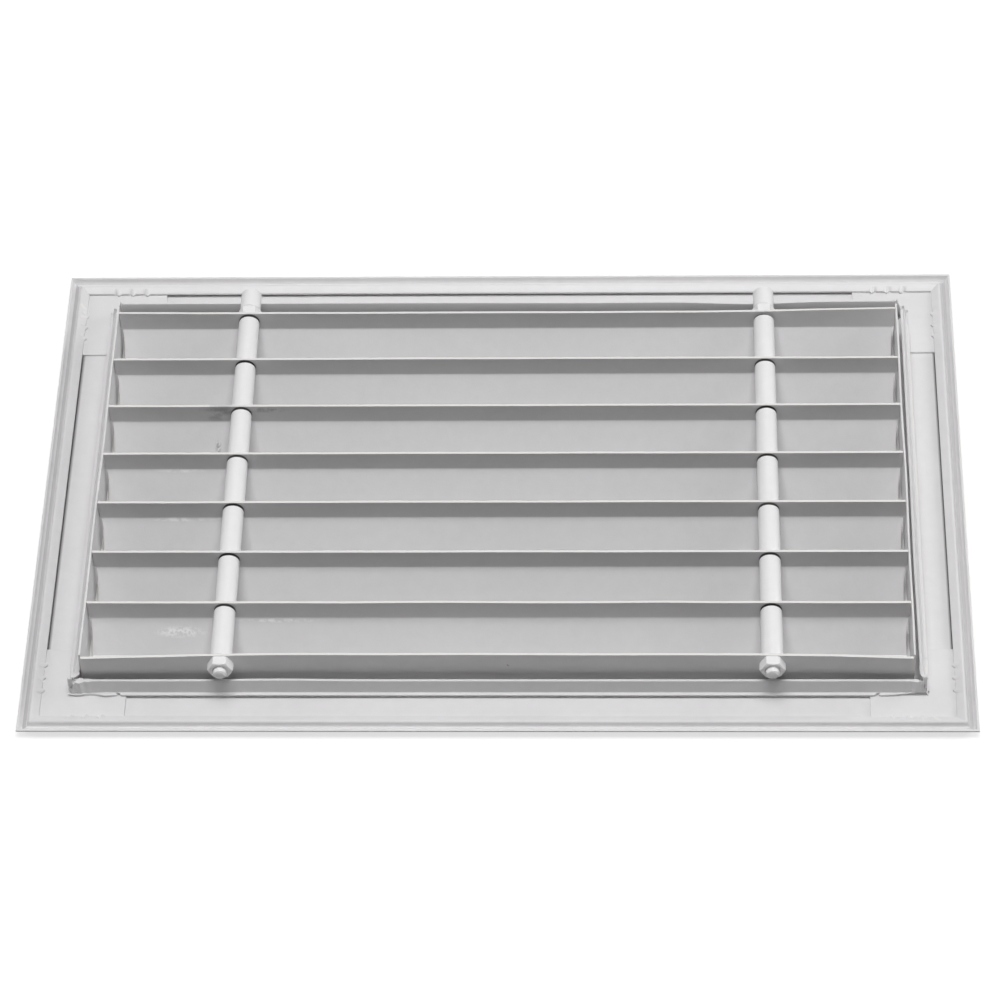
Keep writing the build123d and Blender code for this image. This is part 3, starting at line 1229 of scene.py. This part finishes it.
    def _rod(self, side: Side) -> Piece:
        """Rod with a rolled thread at both ends, half filled by the coat.

        Args:
            side: end of the grille.

        Returns:
            The dressed rod.
        """
        node = f"tie_rod_{side.value}"
        low, high = node_box(node)
        centre, radius = (low + high) / 2, (high.x - low.x) / 2
        fine = self.pitch_of_thread / THREAD_STEPS
        ends = np.arange(0, self.thread_run, fine)
        plain = np.linspace(low.y + self.thread_run, high.y - self.thread_run, 24)
        steps = np.concatenate([low.y + ends, plain, high.y - ends[::-1]])
        around = np.linspace(0, 2 * math.pi, ROD_FACETS, endpoint=False)
        rings = []
        for y in steps:
            edge = min(y - low.y, high.y - y)
            turn = (y / self.pitch_of_thread + around / (2 * math.pi)) % 1.0
            depth = self.thread_depth * smooth_step(np.array((self.thread_run - edge) / 2.0))
            r = radius - np.abs(turn - 0.5) * 2 * depth - max(0.0, self.point - edge)
            rings.append(np.column_stack([
                centre.x + r * np.cos(around), np.full(ROD_FACETS, y), centre.z + r * np.sin(around)]))
        faces = ring_faces(len(rings), ROD_FACETS)
        piece = mesh_piece(f"{node}_bar", np.vstack(rings), faces, sharp=60)
        return dress(piece, self.finish, [node])

    def _nuts(self) -> Piece:
        """All four hexagon nuts, chamfered on both faces.

        Returns:
            The dressed nuts.
        """
        low, high = node_box("nuts")
        first, last = node_box("blade_1")[1].y, node_box("closing_blade")[0].y
        points, faces = [], []
        for side in Side:
            rod_low, rod_high = node_box(f"tie_rod_{side.value}")
            centre, bore = (rod_low + rod_high) / 2, (rod_high.x - rod_low.x) / 2 + 0.05
            flats = (high.z - low.z) * math.cos(math.pi / 6)
            for start, end in ((first, high.y), (last, low.y)):
                nut_points, nut_faces = self._nut(centre, start, end, flats / 2, bore)
                faces += [tuple(len(points) + k for k in face) for face in nut_faces]
                points += nut_points
        piece = mesh_piece("hexagon_nuts", np.array(points), faces, sharp=28)
        return dress(piece, self.finish, ["nuts"])

    def _nut(self, centre: Vector, start: float, end: float, flat: float, bore: float) -> tuple[list, list]:
        """Points and faces of one nut between two values of Y.

        Args:
            centre: point on the rod's axis.
            start: Y of the seated face.
            end: Y of the free face.
            flat: half the width across flats.
            bore: radius of the hole.

        Returns:
            Points and faces.
        """
        count = NUT_FACETS
        around = np.linspace(0, 2 * math.pi, count, endpoint=False)
        from_flat = (around + math.pi / 6 - math.pi / 2) % (math.pi / 3) - math.pi / 6
        corner = flat / np.cos(from_flat)
        height = abs(end - start)
        rings = []
        for level in NUT_LEVELS:
            depth = min(level, 1 - level) * height
            cone = flat * self.chamfer_start + depth * self.chamfer_rise
            r = np.minimum(corner, cone)
            rings.append((r, start + (end - start) * level))
        rings.append((np.full(count, bore + self.bore_break), end))
        rings.append((np.full(count, bore), start + (end - start) * self.bore_level))
        rings.append((np.full(count, bore), start))
        points = []
        for r, y in rings:
            points += [(centre.x + reach * math.cos(turn), y, centre.z + reach * math.sin(turn))
                       for reach, turn in zip(r, around)]
        faces = ring_faces(len(rings), count, caps=False)
        last_ring = (len(rings) - 1) * count
        faces += [(last_ring + k, last_ring + (k + 1) % count, (k + 1) % count, k) for k in range(count)]
        return points, faces


# ------------------------------------------------------------------ studio
@dataclass
class Studio:
    """Pale table, soft lights and the camera.

    Lengths are metres and angles radians; the lens is in millimetres and the lights in watts.
    """

    lens: float = 140.9
    distance: float = 2.3458
    pitch: float = 0.889
    swing: float = -0.062
    roll: float = -0.050
    shift_right: float = -0.0016
    table_size: float = 8.0
    overhead_power: float = 42.0
    left_power: float = 11.5
    right_power: float = 21.0
    air: float = 0.12
    table_bounce: Colour = (0.30, 0.30, 0.30, 1.0)
    table_seen: Colour = (0.42, 0.42, 0.42, 1.0)
    table_glow: float = 0.68

    def build(self) -> None:
        """Set up everything that isn't the grille."""
        self._table()
        self._light("overhead_softbox", (0.0, -0.2, 2.4), (0, 0, 0), 1.5, 1.1, self.overhead_power)
        self._light("left_softbox", (-2.2, 0.5, 1.1), (0, 0, 0), 1.4, 1.0, self.left_power)
        self._light("right_softbox", (2.2, 0.5, 1.1), (0, 0, 0), 1.4, 1.0, self.right_power)
        world = bpy.data.worlds.new("studio_air")
        world.use_nodes = True
        world.node_tree.nodes["Background"].inputs["Color"].default_value = (1, 1, 1, 1)
        world.node_tree.nodes["Background"].inputs["Strength"].default_value = self.air
        bpy.context.scene.world = world
        bpy.context.scene.view_settings.view_transform = "Standard"
        bpy.context.scene.view_settings.look = "None"
        self._camera()

    def _table(self) -> None:
        """White table top just under the grille, paler seen directly than in the light it throws back."""
        half = self.table_size / 2
        mesh = bpy.data.meshes.new("table_top")
        low = CAD_BOX[0].z
        corners = [(-half, -half, low), (half, -half, low), (half, half, low), (-half, half, low)]
        mesh.from_pydata(corners, [], [(0, 1, 2, 3)])
        table = bpy.data.objects.new("table_top", mesh)
        bpy.context.scene.collection.objects.link(table)
        paint = bpy.data.materials.new("table_white")
        paint.use_nodes = True
        shader = paint.node_tree.nodes["Principled BSDF"]
        shader.inputs["Roughness"].default_value = 0.9
        seen = paint.node_tree.nodes.new("ShaderNodeLightPath").outputs["Is Camera Ray"]
        tone = paint.node_tree.nodes.new("ShaderNodeMix")
        tone.data_type = "RGBA"
        tone.inputs[6].default_value = self.table_bounce
        tone.inputs[7].default_value = self.table_seen
        shader.inputs["Emission Color"].default_value = (1, 1, 1, 1)
        glow = paint.node_tree.nodes.new("ShaderNodeMath")
        glow.operation = "MULTIPLY"
        glow.inputs[1].default_value = self.table_glow
        paint.node_tree.links.new(seen, glow.inputs[0])
        paint.node_tree.links.new(glow.outputs[0], shader.inputs["Emission Strength"])
        paint.node_tree.links.new(seen, tone.inputs[0])
        paint.node_tree.links.new(tone.outputs[2], shader.inputs["Base Color"])
        mesh.materials.append(paint)

    def _light(self, name: str, place: Point3, aim: Point3, wide: float, deep: float, power: float) -> None:
        """Rectangular soft light aimed at a point.

        Args:
            name: name of the light.
            place: where it hangs, in metres.
            aim: point it faces, in metres.
            wide: width, in metres.
            deep: depth, in metres.
            power: power, in watts.
        """
        lamp = bpy.data.lights.new(name, "AREA")
        lamp.shape = "RECTANGLE"
        lamp.size, lamp.size_y, lamp.energy = wide, deep, power
        light = bpy.data.objects.new(name, lamp)
        bpy.context.scene.collection.objects.link(light)
        light.location = place
        light.rotation_euler = (Vector(aim) - Vector(place)).to_track_quat("-Z", "Y").to_euler()

    def _camera(self) -> None:
        """Camera on the duct side, looking down along +Y."""
        level = math.cos(self.pitch)
        forward = Vector((level * math.sin(self.swing), level * math.cos(self.swing), -math.sin(self.pitch)))
        right = Vector((math.cos(self.swing), -math.sin(self.swing), 0))
        up = right.cross(forward)
        place = right * self.shift_right - forward * self.distance
        turned_right = right * math.cos(self.roll) + up * math.sin(self.roll)
        turned_up = up * math.cos(self.roll) - right * math.sin(self.roll)
        lens = bpy.data.cameras.new("view")
        lens.lens, lens.sensor_width = self.lens, 36.0
        lens.clip_start, lens.clip_end = 0.05, 50.0
        camera = bpy.data.objects.new("view", lens)
        bpy.context.scene.collection.objects.link(camera)
        camera.matrix_world = Matrix((
            (turned_right.x, turned_up.x, -forward.x, place.x),
            (turned_right.y, turned_up.y, -forward.y, place.y),
            (turned_right.z, turned_up.z, -forward.z, place.z), (0, 0, 0, 1)))
        bpy.context.scene.camera = camera


# ------------------------------------------------------------------ making the grille
def blade_marks() -> tuple[Mark, ...]:
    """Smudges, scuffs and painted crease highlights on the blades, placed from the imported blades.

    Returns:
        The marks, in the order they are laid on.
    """
    third, fourth, fifth, seventh = (node_box(f"blade_{i}") for i in (3, 4, 5, 7))
    closing = node_box("closing_blade")
    rod = (node_box("tie_rod_left")[0] + node_box("tie_rod_left")[1]) / 2
    back3, back7 = third[1].y - BLADE_SHEET, seventh[1].y - BLADE_SHEET
    return (
        Mark((rod.x - 12, back3, 26.0), (16, 6, 9), GREY_SMUDGE, 0.75, 9),
        Mark((rod.x + 14, back3, 28.5), (16, 5, 3), GREY_SMUDGE, 0.55, 5),
        Mark((rod.x - 15, back3 - 11, 7.0), (2.2, 6, 6), DARK_SCRATCH, 0.6, 1.5),
        Mark((rod.x - 27, back7 - 6, 12.0), (17, 4, 4), PALE_SCUFF_AND_HIGHLIGHT, 0.9, 2.0),
        # painted highlights: thin pale lines along the creases of blades 7, 5 and 4
        Mark((rod.x + 32, back7 - 1.5, 17.0), (30, 1.6, 1.6), PALE_SCUFF_AND_HIGHLIGHT, 0.9, 3.0),
        Mark((rod.x - 32, fifth[1].y - 2.5, 17.2), (22, 1.5, 1.5), PALE_SCUFF_AND_HIGHLIGHT, 0.8, 4.0),
        Mark((rod.x - 34, fourth[1].y - 2.5, 17.2), (18, 1.3, 1.3), PALE_SCUFF_AND_HIGHLIGHT, 0.7, 4.0),
        Mark((7.0, closing[0].y, 22.0), (1.2, 2, 1.6), RUSTY_SPECK, 0.9, 0.8),
    )


def hole_rim_shadows() -> tuple[Mark, ...]:
    """Painted shadow round the rod holes on the blades' near faces, in the gap at each tube's far end.

    Returns:
        One mark for each hole.
    """
    rim_shadows = []
    for side in Side:
        low, high = node_box(f"tie_rod_{side.value}")
        for i in range(1, BLADE_COUNT + 1):
            face = node_box(f"blade_{i}")[1].y - BLADE_SHEET
            cover = 0.72 + 0.25 * math.sin(2.3 * i + 4.1 * (side is Side.RIGHT)) ** 2
            centre = ((low.x + high.x) / 2, face, (low.z + high.z) / 2)
            rim_shadows.append(Mark(centre, (6.5, 0.7, 6.9), RIM_SHADOW, cover, grain=0, firm=0.93))
    return tuple(rim_shadows)


def main() -> None:
    """Build the grille piece by piece, then the studio."""
    logging.basicConfig(level=logging.INFO, format="%(name)s: %(message)s")
    # the frame's attribute paints near-black shade under the outer lip, in the cove and inside the neck
    frame_coat = PowderCoat("frame_powder_coat", thin="thin_coat", bare=(0.09, 0.088, 0.084, 1))
    key_coat = PowderCoat("key_powder_coat", edge=(0.74, 0.735, 0.74, 1), recess_shade=(0.70, 0.695, 0.70, 1),
                          peel_size=2.2)
    blade_coat = PowderCoat("blade_powder_coat", marks=blade_marks() + hole_rim_shadows())
    # lighter white than the other coats: painted light for the brightly side-lit tubes, rods and nuts; its
    # attribute paints shadow at the tubes' far ends
    rod_coat = PowderCoat("rod_powder_coat", colour=(0.87, 0.865, 0.87, 1),
                          shade=(0.83, 0.825, 0.83, 1), edge=(0.88, 0.87, 0.85, 1), roughness=0.36,
                          peel_depth=0.05, thin="thin_coat")
    Flange(frame_coat).build()
    CornerKeys(key_coat).build()
    BladePack(blade_coat).build()
    SidePlates(blade_coat).build()
    TieRods(rod_coat).build()
    Studio().build()


if __name__ == "__main__":
    main()
